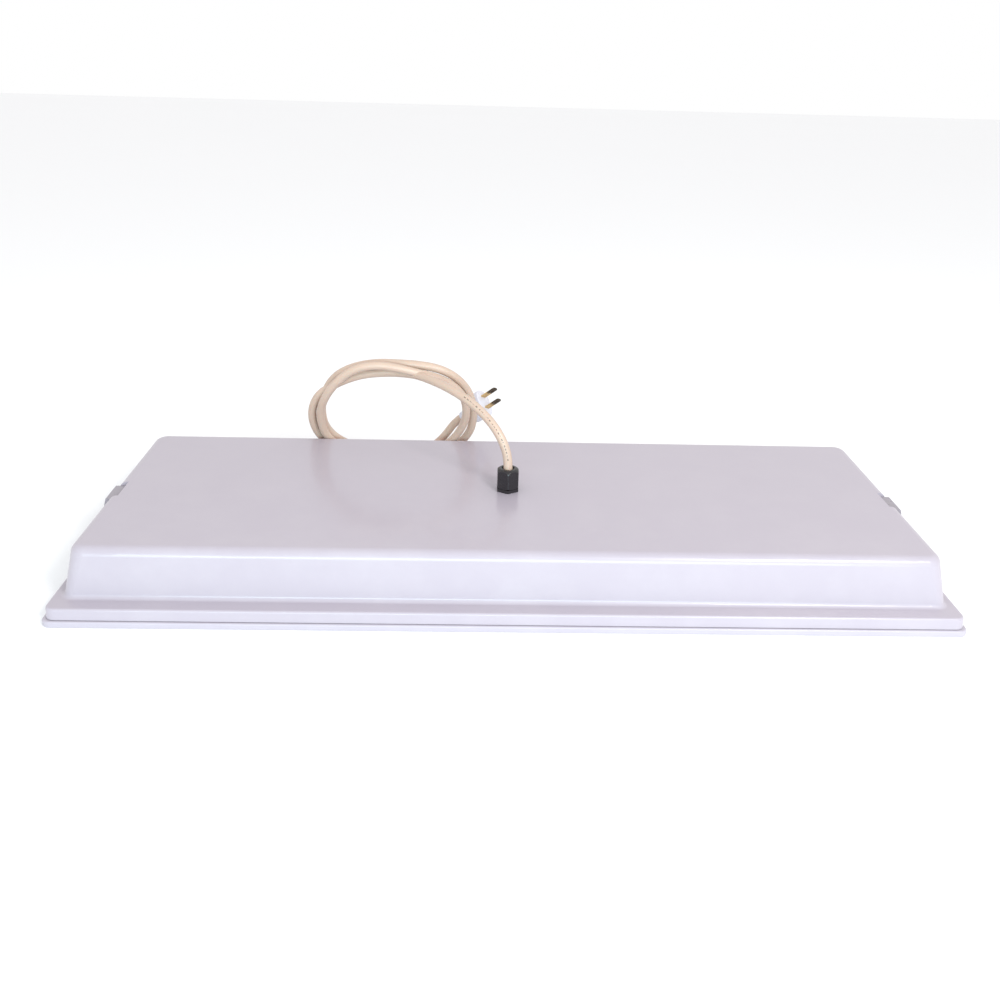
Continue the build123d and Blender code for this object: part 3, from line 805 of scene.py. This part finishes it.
class PAD_OT_plug(bpy.types.Operator):
    """Finishes the moulded plug and its two blades"""

    bl_idname = "pad.plug"
    bl_label = "Mains plug"

    def execute(self, context):
        dress("plug_body", moulded_shell("plug_gloss", (0.66, 0.65, 0.72), 0.24, 0.1))
        brass = rolled_brass("blade_brass", PLUG_OUT, PLUG_FACE, BLADE_LENGTH)
        dress("plug_blade_line", brass)
        dress("plug_blade_neutral", brass)
        return {"FINISHED"}


# ---------------------------------------------------------------- inside


class PAD_OT_inside(bpy.types.Operator):
    """Finishes the antenna, the circuit board and what is on it"""

    bl_idname = "pad.inside"
    bl_label = "Inside"

    def execute(self, context):
        steel = plated_steel("screw_steel")
        for node in ("clamp_screws", "former_screws", "board_screws", "terminal_screws"):
            dress(node, steel)
        dress("coil_former", fine_grain("former_moulding", (0.78, 0.76, 0.68), 0.45))
        dress("antenna_winding", wound_wire("winding_copper", 0.0009, (0.62, 0.25, 0.09)))
        dress("winding_tapes", amber_tape("winding_tape"))
        dress("circuit_board", masked_board("board_mask"))
        dress("transformer_core", stacked_laminations("core_steel"))
        dress("transformer_winding", amber_tape("bobbin_tape"))
        dress("storage_capacitors", capacitor_sleeve("capacitor_sleeve"))
        dress("tuning_capacitor", dipped_epoxy("red_epoxy", (0.50, 0.06, 0.04)))
        dress("heat_sink", extruded_aluminium("sink_aluminium"))
        chip = fine_grain("chip_epoxy", (0.025, 0.025, 0.028), 0.5, 1800.0)
        dress("power_transistors", chip)
        dress("control_chips", chip)
        dress("relay", fine_grain("relay_cover", (0.05, 0.12, 0.38), 0.28))
        dress("fuse_clips", rolled_brass("clip_brass"))
        dress("fuse", clear_glass("fuse_glass"))
        dress("terminal_block", fine_grain("terminal_moulding", (0.04, 0.22, 0.09), 0.42))
        dress("line_tail", plain_pvc("black_core", (0.02, 0.02, 0.02)))
        dress("neutral_tail", plain_pvc("white_core", (0.80, 0.80, 0.78)))
        dress("coil_leads", plain_pvc("red_sleeve", (0.60, 0.05, 0.04)))
        return {"FINISHED"}


class PAD_PT_panel(bpy.types.Panel):
    bl_label = "Antenna Pad"
    bl_idname = "PAD_PT_panel"
    bl_space_type = "VIEW_3D"
    bl_region_type = "UI"
    bl_category = "Antenna Pad"

    def draw(self, context):
        for operator in OPERATORS:
            self.layout.operator(operator.bl_idname)
        for name in GROUPS:
            group = getattr(context.scene, name)
            box = self.layout.box()
            for key in type(group).__annotations__:
                box.prop(group, key)


OPERATORS = (PAD_OT_stage, PAD_OT_lead, PAD_OT_shell, PAD_OT_gland, PAD_OT_plug, PAD_OT_inside)
GROUPS = {"pad_lead": PadLeadSettings, "pad_shell": PadShellSettings, "pad_stage": PadStageSettings}


def register():
    for kind in (*GROUPS.values(), *OPERATORS, PAD_PT_panel):
        bpy.utils.register_class(kind)
    for name, kind in GROUPS.items():
        setattr(bpy.types.Scene, name, bpy.props.PointerProperty(type=kind))


def unregister():
    for name in GROUPS:
        delattr(bpy.types.Scene, name)
    for kind in reversed((*GROUPS.values(), *OPERATORS, PAD_PT_panel)):
        bpy.utils.unregister_class(kind)


def main():
    register()
    bpy.ops.pad.stage()
    bpy.ops.pad.lead()
    bpy.ops.pad.shell()
    bpy.ops.pad.gland()
    bpy.ops.pad.plug()
    bpy.ops.pad.inside()
    bpy.context.view_layer.update()


if __name__ == "__main__":
    main()
